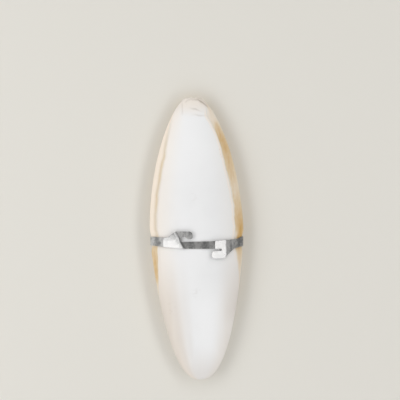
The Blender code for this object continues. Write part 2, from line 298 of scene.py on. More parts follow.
def brokenEnd(x, y):  # the narrow end's corners draw back and its edge is ragged
    across = x / halfWidth(x, y)
    waves = bone["brokenWaves"]
    ragged = sum(height * (1 + np.sin(count * across + phase)) for count, phase, height in waves)
    nickHeight, nickSize, nickSeed = bone["brokenNicks"]
    ragged = ragged + nickHeight * (1 + unevenness(x, x * 0, nickSize, nickSeed))
    drawn = bone["brokenCorner"] * across ** 4 + bone["brokenRagged"] * ragged
    return y - rise(y, bone["narrowEndY"] - bone["brokenReach"], bone["narrowEndY"]) * drawn


def boneMesh():
    x, y = boneGrid()
    top = shieldHeight(x, y)
    under = softHeight(x, y)
    middle = (top + under) / 2
    rimInset = halfWidth(x, y) - np.abs(x)
    endInset = np.minimum(y - bone["broadEndY"], bone["narrowEndY"] - y)
    kept = roundOver(rimInset, bone["rimRound"]) * roundOver(endInset, bone["endEdgeRound"])
    top = middle + (top - middle) * kept
    under = middle + (under - middle) * kept
    ySeen = brokenEnd(x, y)
    rows, columns = x.shape
    upperIndex = np.arange(rows * columns).reshape(rows, columns)
    lowerIndex = upperIndex.copy()
    inside = np.zeros((rows, columns), bool)
    inside[1:-1, 1:-1] = True
    lowerIndex[inside] = rows * columns + np.arange(inside.sum())
    upper = np.stack([x, ySeen, top], axis=-1).reshape(-1, 3)
    lower = np.stack([x, ySeen, under], axis=-1)[inside]
    points = np.concatenate([upper, lower])
    faces = []
    for index, turn in ((upperIndex, 1), (lowerIndex, -1)):
        quads = np.stack([index[:-1, :-1], index[:-1, 1:], index[1:, 1:], index[1:, :-1]], axis=-1)
        faces.append(quads.reshape(-1, 4)[:, ::turn])
    mesh = bpy.data.meshes.new("cuttlebone_skin")
    mesh.from_pydata(points, [], np.concatenate(faces))
    mesh.shade_smooth()
    ownX = np.concatenate([x.ravel(), x[inside]])
    ownY = np.concatenate([y.ravel(), y[inside]])
    onTop = np.concatenate([np.ones(x.size), np.zeros(inside.sum())])
    paintBone(mesh, ownX, ownY, onTop)
    return mesh


# Where the horn-like margin is amber, as (y in mm, amount) along the left and the right, set after the
# photo
hornAlong = (
    ((-60, 0.0), (-45, 0.06), (-37, 0.12), (-32, 0.26), (-28, 0.56), (-24, 0.62), (-12, 0.60),
     (-4, 0.42), (4, 0.20), (20, 0.22), (30, 0.28), (40, 0.22), (55, 0.30), (64, 0.22), (78, 0.15),
     (90, 0.06), (102, 0.0)),
    ((-60, 0.0), (-40, 0.08), (-28, 0.14), (-20, 0.24), (-10, 0.36), (-2, 0.90), (6, 0.89),
     (10, 0.86), (14, 0.72), (22, 0.42), (35, 0.31), (45, 0.42), (55, 0.52), (60, 0.54),
     (66, 0.80), (71, 0.82), (76, 0.55), (80, 0.40), (86, 0.20), (95, 0.18), (102, 0.14)),
)

# How the amber lies: lengths in metres; across the margin, 0 is the shield's edge and 1 the outline
amber = {
    "fade": (-0.0005, 0.0003),              # round the margin's inner edge
    "left": (0.60, 0.50, 0.40),             # below the clip: even share, then middle and reach of the rest
    "right": (0.50, 0.55, 0.40),
    "belowClip": (0.002, 0.006),            # along -y, where the left margin turns amber
    "paintedStepShade": (0.0002, 0.00125),           # above the clip: place inside the margin and reach of the painted shade along the left step
    "bareAtClip": (0.001, 0.006),           # pale part of the right margin: y, reach
    "bareAtEnd": (0.084, 0.094),
    "bareAmount": 0.8,
    "bareAcross": (0.20, 0.50),
    "streaks": ((0.22, 0.12, 0.0012, 41), (0.12, 0.30, 0.0006, 42)),
    "underInset": (-0.0045, -0.0032),       # on the soft side, along minus the inset
    "underShares": (0.35, 0.60),            # even share, and share that follows the upper side
    "underEnd": (0.5, 0.085, 0.102),
    "underAlong": (-0.070, -0.030),
}

# Cream on the hard side's flanks and margins, on the left margin mostly a painted highlight where the rim
# catches the light: an amount, and from where to where across the half width or along y
cream = {
    "flankFrom": 0.35,
    "flanks": (0.42, 0.22),                 # left, right
    "leftMore": (0.10, 0.20, 0.70),
    "broadHalfMore": 0.4,
    "marginCreamAndHighlight": (0.90, 0.55),                # left, right; the left one is mostly a painted highlight of the rim
    "paintedHighlightBesideRight": (0.60, 0.0009, 0.0010),  # painted highlight at the edge of the right step: amount, place inside the margin, reach
    "brokenEnd": (0.55, 0.086, 0.100),
    "broadHalf": (0.004, 0.055),            # along -y
    "grain": ((0.09, 0.08, 0.0025, 43),),   # faint lines along both flanks
}

# Painted shade in a greyish tone, in the same way: towards the margins of the broad half where the dome turns
# from the light, beside the left step and at the broad end, and a darker tone towards the broken end
paintedShade = {
    "left": ((0.24, 0.12, 0.35), (0.28, 0.42, 0.64), (0.20, 0.80, 1.00)),
    "right": (0.55, 0.40, 1.00),
    "rightFades": (0.55, 0.050, 0.066),     # along -y
    "paintedStepShade": 0.40,
    "paintedShadeBesideStep": (0.20, -0.0075, -0.0050),  # painted shade just inside the left step, along minus the inset
    "paintedShadeBesideStepEnds": (-0.060, -0.040),      # along -y
    "broadEnd": (0.45, 0.074, 0.102),
    "brokenEnd": (0.22, 0.086, 0.100),
}

# Painted light: chalk made whiter on the narrow half and on the right of the broad half, standing in for
# light there; and the middle and the swing of the growth lines' painted shade
bleachedAndPaintedLight = {"narrowHalf": (0.6, 0.030, 0.070), "broadHalf": (0.026, 0.056), "broadRight": (-0.006, 0.010)}
growthShadeTones = (0.65, 0.35)


def placesOnBone(x, y):
    # inset from the outline, the margin's width there, whether on the margin, and the place across the width
    edge = halfWidth(x, y)
    inset = edge - np.abs(x)
    band = np.maximum(flangeWidth(x, y), 1e-6)
    fadeStart, fadeEnd = amber["fade"]
    return {
        "inset": inset,
        "band": band,
        "onMargin": 1 - rise(inset, band + fadeStart, band + fadeEnd),
        "across": np.clip(np.abs(x) / edge, 0, 1),
        "broadHalf": rise(-y, *cream["broadHalf"]),
        "grain": 1 + layered(x, y, cream["grain"]),
    }


def paintedStepShade(x, y, at):  # painted shade of the groove along the left step above the clip, in an amber tone
    place, reach = amber["paintedStepShade"]
    return bell(at["inset"], at["band"] + place, reach) * flangePresence(x, y)


def amberTint(x, y, at, onTop):
    along = np.where(x < 0, *[np.interp(y / mm, *zip(*side)) for side in hornAlong])
    place = np.clip(1 - at["inset"] / at["band"], 0, 1)
    streaks = 1 + layered(x, y, amber["streaks"])

    def acrossMargin(even, middle, reach):
        return at["onMargin"] * (even + (1 - even) * bell(place, middle, reach))

    bare = amber["bareAmount"] * (bell(y, *amber["bareAtClip"]) + rise(y, *amber["bareAtEnd"]))
    bare = bare * (1 - rise(place, *amber["bareAcross"]))
    line = paintedStepShade(x, y, at)
    # above the clip the left margin gets no amber but the painted step shade; its cream there is a painted
    # highlight
    left = line + (acrossMargin(*amber["left"]) - line) * rise(-y, *amber["belowClip"])
    right = acrossMargin(*amber["right"]) * (1 - bare)
    above = np.clip(along * np.where(x < 0, left, right) * streaks, 0, 1)
    even, following = amber["underShares"]
    under = rise(-at["inset"], *amber["underInset"]) * np.clip(even + along * following, 0, 1) * streaks
    under = np.maximum(under, ramp(y, *amber["underEnd"]))
    return above * onTop + np.clip(under, 0, 1) * rise(y, *amber["underAlong"]) * (1 - onTop)


def creamTint(x, y, at):
    flanks = rise(at["across"], cream["flankFrom"], 1) * bySide(x, cream["flanks"])
    flanks = flanks + ramp(at["across"], *cream["leftMore"]) * (x < 0)
    tint = flanks * (1 + cream["broadHalfMore"] * at["broadHalf"]) * at["grain"]
    # the margins' cream, on the left mostly a painted highlight where the rim catches the light
    tint = np.maximum(tint, bySide(x, cream["marginCreamAndHighlight"]) * at["onMargin"])
    # a painted highlight along the edge of the right step
    amount, place, reach = cream["paintedHighlightBesideRight"]
    paintedLightBesideStep = amount * bell(at["inset"], at["band"] + place, reach) * flangePresence(x, y)
    tint = np.maximum(tint, paintedLightBesideStep * (x >= 0))
    return np.maximum(tint, ramp(y, *cream["brokenEnd"]))


def paintedShadeTint(x, y, at):
    # painted shade towards the margins of the broad half, where the dome turns from the light
    left = sum(ramp(at["across"], *layer) for layer in paintedShade["left"])
    right = ramp(at["across"], *paintedShade["right"]) * (1 - ramp(-y, *paintedShade["rightFades"]))
    tint = np.where(x < 0, left, right) * at["broadHalf"] * at["grain"]
    paintedLightBesideStep = ramp(-at["inset"], *paintedShade["paintedShadeBesideStep"]) * (1 - at["onMargin"]) * rise(-y, *paintedShade["paintedShadeBesideStepEnds"])
    # painted shade along the left step above the clip, and just inside it
    line = paintedShade["paintedStepShade"] * paintedStepShade(x, y, at) * (1 - rise(-y, *amber["belowClip"]))
    tint = np.maximum(tint, (line + paintedLightBesideStep) * (x < 0))
    # painted shade towards the broad end, where it slopes away, and a darker tone towards the broken end
    tint = np.maximum(tint, ramp(-y, *paintedShade["broadEnd"]))
    return np.maximum(tint, ramp(y, *paintedShade["brokenEnd"]))


def paintBone(mesh, x, y, onTop):
    # what the material blends by: amber, cream, partly a painted highlight on the margins, and brown marks in
    # "masks"; painted shade, the growth lines' painted shade, sheen and, as alpha, painted light that whitens
    # the chalk in "tints"
    at = placesOnBone(x, y)
    horn = amberTint(x, y, at, onTop)
    marks = brownMarks(x, y, at["inset"]) * onTop
    middle, swing = growthShadeTones
    # painted shade in stripes along the growth lines of the soft side, in step with their relief
    growth = middle - swing * np.cos(2 * np.pi * growthLine(x, y)[0] / bone["growthPitch"])
    growth = growth * growthZone(x, y) * (1 - onTop)
    sheen = np.maximum(at["onMargin"] * onTop, horn)
    # painted light: whiter chalk on the right of the broad half and on the narrow half
    paintedWhiter = rise(-y, *bleachedAndPaintedLight["broadHalf"]) * rise(x, *bleachedAndPaintedLight["broadRight"])
    paintedWhiter = (paintedWhiter + ramp(y, *bleachedAndPaintedLight["narrowHalf"])) * onTop
    masks = (horn, creamTint(x, y, at), marks, np.ones_like(x))
    tints = (paintedShadeTint(x, y, at), growth, sheen, paintedWhiter)
    for name, channels in (("masks", masks), ("tints", tints)):
        colours = np.stack(np.clip(channels, 0, 1), axis=1)
        attribute = mesh.attributes.new(name, "FLOAT_COLOR", "POINT")
        attribute.data.foreach_set("color", colours.astype(np.float32).ravel())


# Brown marks on the hard side, lengths in metres
brown = {
    "archY": 0.1013,                    # a line that arches across the broken end
    "archBend": 48.0,                   # how fast it falls off to the sides, per metre
    "archWander": ((0.00015, 0, 0.0021, 61),),
    "archWidth": 0.00075,
    "archTones": (0.18, 0.42),          # all along, and added at its darkest
    "archDarkest": (0.0063, 0.0042),    # x, reach
    "archLeft": (-0.0075, -0.0040),
    "archRight": (0.0098, 0.0118),
    "beyondArch": (0.15, 0.0, 0.0008),  # from the line to the broken edge: tone, from and to
    "beyondArchX": (0.0, 0.005),
    "wave": (0.0006, 0.0011),           # height, length
    "waveWander": ((0.0003, 1, 0.0013, 62),),
    # short nicks: tone, y at the middle, slope, share of the wave, width, x of the middle, reach
    "nicks": ((0.34, 0.09414, -0.33, 0.5, 0.00050, 0.0016, 0.0032),
              (0.22, 0.08960, -0.12, 0.4, 0.00055, 0.0045, 0.0040)),
    "crease": (0.16, -0.0077, 0.3, 0.00045),    # tone, x, share of the wave, width
    "creaseStart": (0.0885, 0.0920),
    "creaseEnd": (-0.0995, -0.0970),    # along -y
    "chips": (0.35, 0.0008, 63),        # along the right edge of the shield: tone, size, seed
    "chipsRise": (0.45, 0.75),
    "chipsY": (0.062, 0.004),
    "chipsInset": (0.0074, 0.0007),
    "pores": (0.08, 0.0012, 64),        # shallow, in a few spots: tone, size, seed
    "poresRise": (0.25, 0.60),
    # x, y, reach
    "poreSpots": ((-0.0010, -0.0385, 0.0034), (-0.0205, -0.0500, 0.0040), (-0.0020, 0.0300, 0.0026)),
}


def brownMarks(x, y, inset):
    bend = brown["archBend"] * x
    arch = y - brown["archY"] + bend * x + layered(x, y, brown["archWander"])
    arch = arch / np.sqrt(1 + (2 * bend) ** 2)
    even, darkest = brown["archTones"]
    marks = bell(arch, 0, brown["archWidth"]) * (even + darkest * bell(x, *brown["archDarkest"]))
    marks = marks * rise(x, *brown["archLeft"]) * (1 - rise(x, *brown["archRight"]))
    marks = np.maximum(marks, ramp(arch, *brown["beyondArch"]) * rise(x, *brown["beyondArchX"]))
    waveHeight, waveLength = brown["wave"]
    wave = waveHeight * np.sin(x / waveLength) + layered(x, y, brown["waveWander"])
    for tone, middleY, slope, share, width, middleX, reach in brown["nicks"]:
        marks += tone * bell(y, middleY + slope * x + share * wave, width) * bell(x, middleX, reach)
    tone, creaseX, share, width = brown["crease"]
    creaseSeen = rise(y, *brown["creaseStart"]) * rise(-y, *brown["creaseEnd"])
    marks += tone * bell(x, creaseX + share * wave, width) * creaseSeen
    tone, size, seed = brown["chips"]
    chips = rise(unevenness(x, y, size, seed), *brown["chipsRise"])
    marks += tone * chips * bell(y, *brown["chipsY"]) * bell(inset, *brown["chipsInset"]) * (x > 0)
    tone, size, seed = brown["pores"]
    pores = rise(unevenness(x, y, size, seed), *brown["poresRise"])
    for poreX, poreY, reach in brown["poreSpots"]:
        marks += tone * pores * bell(x, poreX, reach) * bell(y, poreY, reach)
    return np.clip(marks, 0, 1)


def boneMaterial():
    # Dry aragonite, grown and whitened by the sun: matt chalk with a fine grain, and an amber horn-like
    # margin; painted shade, painted highlights and painted light that whitens the chalk are blended into its
    # colour
    look = {
        "chalk": "#F5F5F5", "chalkShade": "#F3F3F3", "paintedLightChalk": "#FCFCFC", "cream": "#FFF0DD",
        "paintedShade": "#DAD1C8", "hornPale": "#EAD6B6", "hornDeep": "#D6AC68", "mark": "#8C7758",
        "growthShade": "#DDD3C2", "roughness": 0.82, "marginRoughness": 0.45,
        "clouds": 60.0, "fibres": 900.0, "grain": 1700.0,       # cells a metre
        "grainDepth": 0.00012,
    }

    def blend(amount, below, above):
        # a hex colour or a socket laid over another by an amount
        links = {0: amount}
        settings = {"data_type": "RGBA"}
        for socket, colour in ((6, below), (7, above)):
            if isinstance(colour, str):
                settings[socket] = linear(colour)
            else:
                links[socket] = colour
        return addNode(tree, "ShaderNodeMix", settings, links).outputs[2]

    material, tree = emptyMaterial("bleached aragonite")
    place = addNode(tree, "ShaderNodeTexCoord").outputs["Object"]
    masks = addNode(tree, "ShaderNodeAttribute", {"attribute_name": "masks"}).outputs
    horn, creamy, marked = addNode(tree, "ShaderNodeSeparateColor", links={"Color": masks["Color"]}).outputs
    tints = addNode(tree, "ShaderNodeAttribute", {"attribute_name": "tints"}).outputs
    paintedShadeAmount, growth, sheen = addNode(tree, "ShaderNodeSeparateColor", links={"Color": tints["Color"]}).outputs
    cloud = addNode(tree, "ShaderNodeTexNoise", {"Scale": look["clouds"], "Detail": 3.0}, {"Vector": place})
    blotch = addNode(tree, "ShaderNodeMapRange", {"From Min": 0.35, "From Max": 0.70},
                     {"Value": cloud.outputs["Fac"]})
    chalk = blend(blotch.outputs["Result"], look["chalk"], look["chalkShade"])
    # painted light: chalk blended whiter where the hard side should look more lit
    chalk = blend(tints["Alpha"], chalk, look["paintedLightChalk"])
    # painted shade laid over the chalk and the cream
    tinted = blend(paintedShadeAmount, blend(creamy, chalk, look["cream"]), look["paintedShade"])
    # painted shade of the growth lines
    lined = blend(growth, tinted, look["growthShade"])
    # horn deepens where it is thicker and along its fibres, which run with the margin
    fibres = addNode(tree, "ShaderNodeMapping", {"Scale": (1.0, 0.10, 1.0)}, {"Vector": place})
    streak = addNode(tree, "ShaderNodeTexNoise", {"Scale": look["fibres"], "Detail": 2.0},
                     {"Vector": fibres.outputs["Vector"]})
    depth = addNode(tree, "ShaderNodeMath", {"operation": "MULTIPLY_ADD", 1: 0.35},
                    {0: streak.outputs["Fac"], 2: horn})
    deep = addNode(tree, "ShaderNodeMapRange", {"From Min": 0.42, "From Max": 1.05},
                   {"Value": depth.outputs[0]})
    hornColour = blend(deep.outputs["Result"], look["hornPale"], look["hornDeep"])
    cover = addNode(tree, "ShaderNodeMapRange", {"From Min": 0.02, "From Max": 0.34}, {"Value": horn})
    covered = blend(marked, blend(cover.outputs["Result"], lined, hornColour), look["mark"])
    grain = addNode(tree, "ShaderNodeTexNoise", {"Scale": look["grain"], "Detail": 4.0, "Roughness": 0.6},
                    {"Vector": place})
    bump = addNode(tree, "ShaderNodeBump", {"Strength": 0.25, "Distance": look["grainDepth"]},
                   {"Height": grain.outputs["Fac"]})
    gloss = addNode(tree, "ShaderNodeMapRange",
                    {"To Min": look["roughness"], "To Max": look["marginRoughness"]}, {"Value": sheen})
    shader = addNode(tree, "ShaderNodeBsdfPrincipled", {"IOR": 1.45},
                     {"Base Color": covered, "Roughness": gloss.outputs["Result"],
                      "Normal": bump.outputs["Normal"]})
    addNode(tree, "ShaderNodeOutputMaterial", links={"Surface": shader.outputs["BSDF"]})
    return material


def makeBone():
    piece = bpy.data.objects.new("cuttlebone_skin", boneMesh())
    bpy.context.collection.objects.link(piece)
    piece.data.materials.append(boneMaterial())
    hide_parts("cuttlebone")
    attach(piece, "root")


makeBone()

print("holder clip: strip")

# What a user would change on the clip, in metres
clip = {
    "steel": 0.0005,
    "gap": 0.0003,
    "foldGap": 0.00045,
    "bridge": (-0.0094, 0.0129),
    "leftCrease": -0.0239,
    "rightPlate": 0.0208,
    "rightCrease": 0.0265,
    "standoffs": (0.0012, 0.0013, 0.0007),      # of left crease, right plate and right crease
    "armSamples": 9,            # places across an arm where the bone's height is taken
    "creaseRadius": 0.0012,
    "softRadius": 0.005,        # of the bends that are pressed by hand
    "foldInset": 0.0031,
    "foldLength": 0.0044,
    "foldRadius": 0.0004,
    "bendLean": 0.55,           # slant of the bridge's left bend across the strip
    "bendLeanY": -0.0070,
    "hookLift": 0.12,           # slope of the upper hook out of the bridge
    "upperHookY": (-0.0020, -0.0004),
    "lowerHookY": -0.0085,
    "edgeBevel": 0.00008,
    "cell": 0.0005,
    "cutYs": (-0.0140, 0.0058),     # the blank is cut into cells between these
    "leastCell": 0.35,          # share of a cell within which a bend keeps other cuts away
    "dent": 0.00003,            # the sheet is never quite flat
    "dentSize": 0.0035,
    "dentSeed": 51,
    "dentFrom": (0.014, 0.018),     # height where the dents begin and are full
}

# The clip's finish with its painted shade and highlight: lengths in metres along x or across the strip, tones
# as shares
polishAndPaintedLight = {
    "rubbed": 0.88,                     # how far both plates are rubbed bright
    "leftStart": (-0.0004, 0.0004),     # round the left crease
    "leftEnd": (0.0012, 0.0022),        # past the slanted bend
    "rightEnd": (-0.0006, 0.0010),      # round the right plate's end
    "bendShadeTowardsEdge": (0.85, -0.0024, 0.0006),    # painted shade on the left plate towards its upper edge
    "bendShadeBeforeBend": (-0.0046, -0.0008),     # and painted shade before the slanted bend
    "patches": (0.5, 0.5),              # middle tone and swing of the unrubbed sheet
    "patchSize": 0.0036,
    "patchSeed": 3299,                  # best of 4000 tried against the tones along the bridge in the photo
    "hookRoot": 0.4,                    # the upper hook is lighter at its root
    "hookRootEnds": (0.0040, 0.0080),   # past the slanted bend
    "spots": (                          # set after the photo: x, reach, how much lighter or darker
        (-0.0316, 0.0013, 0.60),
        (-0.0291, 0.0014, -0.75),
        (-0.0245, 0.0014, 0.85),
        (-0.0103, 0.0009, 0.50),
        (-0.0064, 0.0014, 0.50),
        (0.0016, 0.0017, 0.80),
        (0.0110, 0.0016, 0.35),
        # a painted highlight where the right plate bends down at its end, and painted shade just past it
        (0.0220, 0.0012, 0.80),
        (0.0242, 0.0007, -0.50),
        (0.0269, 0.0016, 0.60),
        (0.0300, 0.0010, -0.40),
    ),
}


def rounded(corners, closed, stepAngle=9):
    # points of a polyline whose corners (a, b, radius) are turned into arcs
    spots = np.array([corner[:2] for corner in corners])
    points = []
    for i, (a, b, radius) in enumerate(corners):
        if radius == 0 or (not closed and i in (0, len(corners) - 1)):
            points.append((a, b))
            continue
        back = spots[i - 1] - spots[i]
        ahead = spots[(i + 1) % len(spots)] - spots[i]
        back = back / np.linalg.norm(back)
        ahead = ahead / np.linalg.norm(ahead)
        half = np.arccos(np.clip(back @ ahead, -1, 1)) / 2
        middle = spots[i] + (back + ahead) / np.linalg.norm(back + ahead) * radius / np.sin(half)
        start = spots[i] + back * radius / np.tan(half) - middle
        end = spots[i] + ahead * radius / np.tan(half) - middle
        turn = np.pi - 2 * half
        part = np.linspace(0, 1, max(1, math.ceil(math.degrees(turn) / stepAngle)) + 1)[:, None]
        arms = (np.sin((1 - part) * turn) * start + np.sin(part * turn) * end) / np.sin(turn)
        points += (middle + arms).tolist()
    return np.array(points)


def plainShield(x, y):  # the dome without its fine wear, which the strip bridges
    edge = halfWidth(x, y)
    across = np.clip(np.abs(x) / edge, 0, 1)
    width = bySide(x, bone["flangeWidths"]) * flangePresence(x, y)
    step = 1 - rise(edge - np.abs(x) - width, -bone["stepRun"] / 2, bone["stepRun"] / 2)
    step = step * bone["flangeStep"] * flangePresence(x, y)
    return rimHeight(y) + shieldRise(y) * (1 - across ** bone["shieldPower"]) - step


def plainSoft(x, y):
    across = np.clip(np.abs(x) / halfWidth(x, y), 0, 1)
    bulge = bone["bulgeDepth"] * taper(y, bone["bulgePeakY"], bone["bulgeEndY"], bone["narrowApexY"],
                                       bone["bulgeBroad"], bone["bulgeNarrow"])
    edge, root = bone["bulgePower"]
    bulge = bulge * (1 - np.clip(across / bone["bulgeEdge"], 0, 1) ** edge) ** root
    return rimHeight(y) - bone["rimThickness"] - bulge


def stripRoute():
    # inner face of the strip from one folded end to the other, as (x, z) points
    leftArm, rightArm = bone["armYs"]
    count = clip["armSamples"]

    def above(x, arm, standoff):
        return plainShield(np.full(count, x), np.linspace(*arm, count)).max() + standoff

    def fold(side, arm):
        y = np.linspace(*arm, count)
        sideX = np.full(count, side * mm)
        edge = halfWidth(sideX, y).max() + clip["gap"]
        rimX = sideX * (edge - clip["gap"]) / mm
        rimTop = plainShield(rimX, y).max() + clip["gap"]
        rimUnder = plainSoft(rimX, y).min() - clip["foldGap"]
        innerX = edge - clip["foldInset"]
        tipX = innerX - clip["foldLength"]
        tipZ = plainSoft(sideX * tipX / mm, y).min() - clip["foldGap"]
        return [(side * tipX, tipZ, 0), (side * innerX, rimUnder, clip["creaseRadius"]),
                (side * edge, rimUnder, clip["foldRadius"]), (side * edge, rimTop, clip["foldRadius"])]

    crown = above(0, (rightArm[0], leftArm[1]), clip["gap"])
    corners = fold(-1, leftArm)
    left, plate, right = clip["standoffs"]
    corners += [
        (clip["leftCrease"], above(clip["leftCrease"], leftArm, left), clip["creaseRadius"]),
        (clip["bridge"][0], crown, clip["softRadius"]),
        (clip["bridge"][1], crown, clip["creaseRadius"]),
        (clip["rightPlate"], above(clip["rightPlate"], rightArm, plate), clip["softRadius"]),
        (clip["rightCrease"], above(clip["rightCrease"], rightArm, right), clip["softRadius"]),
    ]
    corners += reversed(fold(1, rightArm))
    return rounded(corners, closed=False, stepAngle=6)


def stripOutline(along, length):
    # the strip's blank, unrolled: arms, bridge and the two hooks that point past each other
    (leftLow, leftHigh), (rightLow, rightHigh) = bone["armYs"]
    bridgeLeft, bridgeRight = clip["bridge"]
    return rounded([
        (0, leftHigh, 0.0018),
        (along(-0.0320), leftHigh, 0.004),
        (along(clip["leftCrease"]), 0.0014, 0.004),
        (along(-0.0213), 0.0013, 0.0016),
        (along(-0.0150), 0.0058, 0.0022),
        (along(-0.0029), 0.0054, 0.0027),
        (along(-0.0029), -0.0003, 0.0017),
        (along(-0.0065), -0.0001, 0.0011),
        (along(-0.0081), 0.0016, 0.0014),
        (along(-0.0117), 0.0015, 0.0016),
        (along(-0.0117), -0.0020, 0.0016),
        (along(bridgeRight), -0.0020, 0.020),
        (along(0.0290), -0.0009, 0.006),
        (along(0.0325), rightHigh, 0.004),
        (length, rightHigh, 0.0018),
        (length, rightLow, 0.0018),
        (along(0.0325), rightLow, 0.004),
        (along(0.0262), -0.0080, 0.0016),
        (along(0.0211), -0.0126, 0.0020),
        (along(0.0189), -0.0145, 0.0020),
        (along(0.0098), -0.0144, 0.0026),
        (along(0.0098), -0.0093, 0.0022),
        (along(0.0175), -0.0092, 0.0006),
        (along(0.0175), -0.0075, 0.0006),
        (along(bridgeRight), -0.0075, 0.020),
        (along(bridgeLeft), -0.0068, 0.020),
        (along(clip["leftCrease"]), -0.0052, 0.004),
        (along(-0.0320), leftLow, 0.004),
        (0, leftLow, 0.0018),
    ], closed=True)


def clipMesh():
    route = stripRoute()
    reach = np.concatenate([[0], np.cumsum(np.linalg.norm(np.diff(route, axis=0), axis=1))])
    sloping = np.abs(np.gradient(route[:, 0], reach)) > 0.3     # the run over the bone, without its folds
    over = sloping & (route[:, 1] > bone["rimHeight"] - clip["gap"])

    def along(x):
        return np.interp(x, route[over, 0], reach[over])

    length = reach[-1]
    crease, bend, middle, bendRight, plateEnd = (
        along(p) for p in (clip["leftCrease"], clip["bridge"][0], 0, clip["bridge"][1], clip["rightPlate"]))

    def slanted(b):  # where the left bend crosses the blank
        return bend - clip["bendLean"] * (b - clip["bendLeanY"])

    def routeStation(a, b):
        # stretched on both sides of the slanted bend, unchanged past the crease and the middle
        before = crease + (a - crease) * (bend - crease) / (slanted(b) - crease)
        after = middle - (middle - a) * (middle - bend) / (middle - slanted(b))
        return np.where((a <= crease) | (a >= middle), a, np.where(a < slanted(b), before, after))

    outline = stripOutline(along, length)
    blank = bmesh.new()
    blank.faces.new([blank.verts.new((a, b, 0)) for a, b in outline[::-1]]).normal_update()
    low, high = clip["upperHookY"]
    cuts = []
    for station in reach[1:-1]:      # each bend is cut where it crosses the blank, slanted or straight
        ends = [np.interp(station, (0, crease, bend, middle, length), (0, crease, slanted(b), middle, length))
                for b in (low, high)]
        cuts.append(((ends[0], low, 0), (high - low, ends[0] - ends[1], 0)))
    plainCuts = np.arange(clip["cell"], length, clip["cell"])
    clear = np.abs(plainCuts[:, None] - reach[None, :]).min(axis=1) > clip["cell"] * clip["leastCell"]
    cuts += [((a, 0, 0), (1, 0, 0)) for a in plainCuts[clear]]
    cuts += [((0, b, 0), (0, 1, 0)) for b in np.arange(*clip["cutYs"], clip["cell"])]
    for point, normal in cuts:
        everything = blank.verts[:] + blank.edges[:] + blank.faces[:]
        bmesh.ops.bisect_plane(blank, geom=everything, dist=1e-7, plane_co=point, plane_no=normal)
    mesh = bpy.data.meshes.new("holder_strip")
    blank.to_mesh(mesh)
    blank.free()
    flat = np.zeros(len(mesh.vertices) * 3)
    mesh.vertices.foreach_get("co", flat)
    a, b = flat.reshape(-1, 3)[:, 0], flat.reshape(-1, 3)[:, 1]
    x = np.interp(a, reach, route[:, 0])
    z = np.interp(routeStation(a, b), reach, route[:, 1])
    upperHook = (a > slanted(b)) & (a < bendRight)               # lifted out of the bridge
    z = z + np.where(upperHook, clip["hookLift"] * (a - slanted(b)) * rise(b, low, high), 0)
    lowerHook = (b < clip["lowerHookY"]) & (a < bendRight)       # stays in the right plate's plane
    part = (a - bendRight) / (plateEnd - bendRight)
    plateX = np.interp([bendRight, plateEnd], reach, route[:, 0])
    plateZ = np.interp([bendRight, plateEnd], reach, route[:, 1])
    x = np.where(lowerHook, plateX[0] + part * (plateX[1] - plateX[0]), x)
    z = np.where(lowerHook, plateZ[0] + part * (plateZ[1] - plateZ[0]), z)
    dents = clip["dent"] * (1 + unevenness(a, b, clip["dentSize"], clip["dentSeed"]))
    z = z + dents * rise(z, *clip["dentFrom"])
    mesh.vertices.foreach_set("co", np.stack([x, b, z], axis=1).ravel())
    mesh.shade_smooth()
    pastBend = a - slanted(b)
    onRight = ((a >= bendRight) | lowerHook) * (1 - rise(a - plateEnd, *polishAndPaintedLight["rightEnd"]))
    onLeft = rise(a - crease, *polishAndPaintedLight["leftStart"]) * (1 - rise(pastBend, *polishAndPaintedLight["leftEnd"]))
    onHook = upperHook * rise(b, low, high)
    paintClip(mesh, x, b, pastBend, onLeft, onRight, onHook)
    return mesh


def paintClip(mesh, x, b, pastBend, onLeft, onRight, onHook):
    # both plates are rubbed bright, the left one with painted shade towards its upper edge and the slanted
    # bend, where the sheet bends from the light; the rest is patchy, with a lighter root of the upper hook
    # and lighter and darker spots along the strip
    # painted shade: no rubbing and no patches there, which leaves the darkest tone
    paintedBendShade = 1 - (1 - ramp(b, *polishAndPaintedLight["bendShadeTowardsEdge"])) * (1 - rise(pastBend, *polishAndPaintedLight["bendShadeBeforeBend"]))
    paintedBendShade = paintedBendShade * onLeft
    rubbed = np.maximum(onLeft, onRight) * (1 - paintedBendShade) * polishAndPaintedLight["rubbed"]
    middle, swing = polishAndPaintedLight["patches"]
    patches = middle + swing * unevenness(x, b, polishAndPaintedLight["patchSize"], polishAndPaintedLight["patchSeed"])
    patches = patches + polishAndPaintedLight["hookRoot"] * onHook * (1 - rise(pastBend, *polishAndPaintedLight["hookRootEnds"]))
    for place, reach, amount in polishAndPaintedLight["spots"]:
        patches = patches + amount * bell(x, place, reach)
    finishAndPaintedLight = np.stack([rubbed, patches * (1 - paintedBendShade), np.zeros_like(x), np.ones_like(x)], axis=1)
    attribute = mesh.attributes.new("finishAndPaintedLight", "FLOAT_COLOR", "POINT")
    attribute.data.foreach_set("color", np.clip(finishAndPaintedLight, 0, 1).astype(np.float32).ravel())


